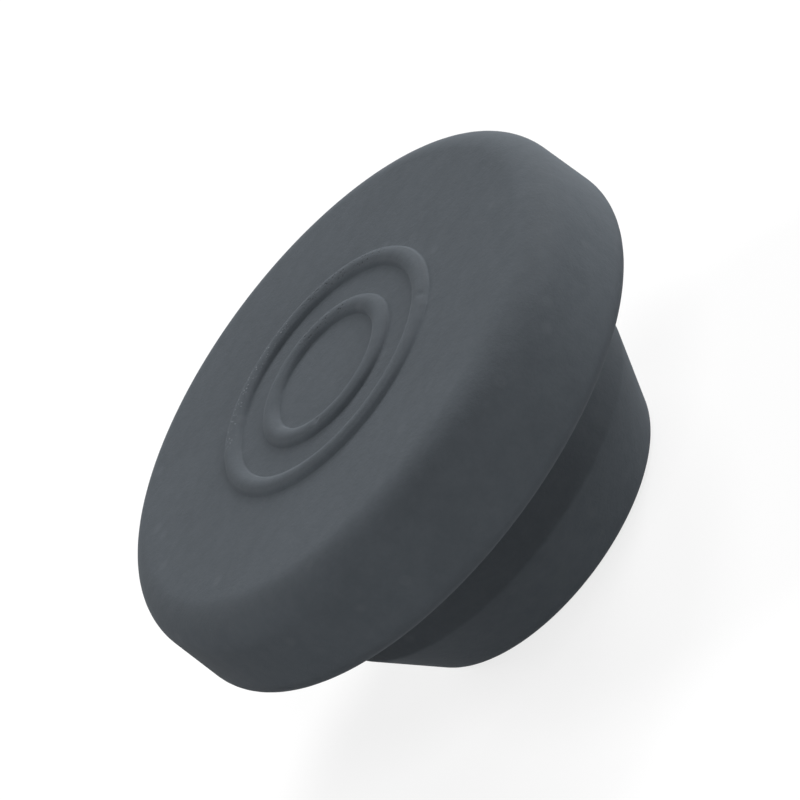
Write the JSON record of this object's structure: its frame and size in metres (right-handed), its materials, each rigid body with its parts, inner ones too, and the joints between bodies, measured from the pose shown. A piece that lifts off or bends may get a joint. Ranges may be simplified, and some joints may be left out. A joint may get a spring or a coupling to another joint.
{
  "type": "rubber stopper",
  "caption": "Round rubber stopper: a wide flange with a flat face, raised target rings and a rounded rim, over a short collared, tapered plug that is hollow below.",
  "frame": {"origin": "centre of the end of the plug, which the stopper stands on", "axes": "+Z along the stopper's axis, from the end of the plug to the flange's face; X and Y are alike"},
  "size_m": [0.019, 0.019, 0.0092],
  "materials": {
    "rubber": "matt, as moulded, with a very fine grain"
  },
  "bodies": {
    "root": {"stopper": "rubber"}
  },
  "joints": []
}
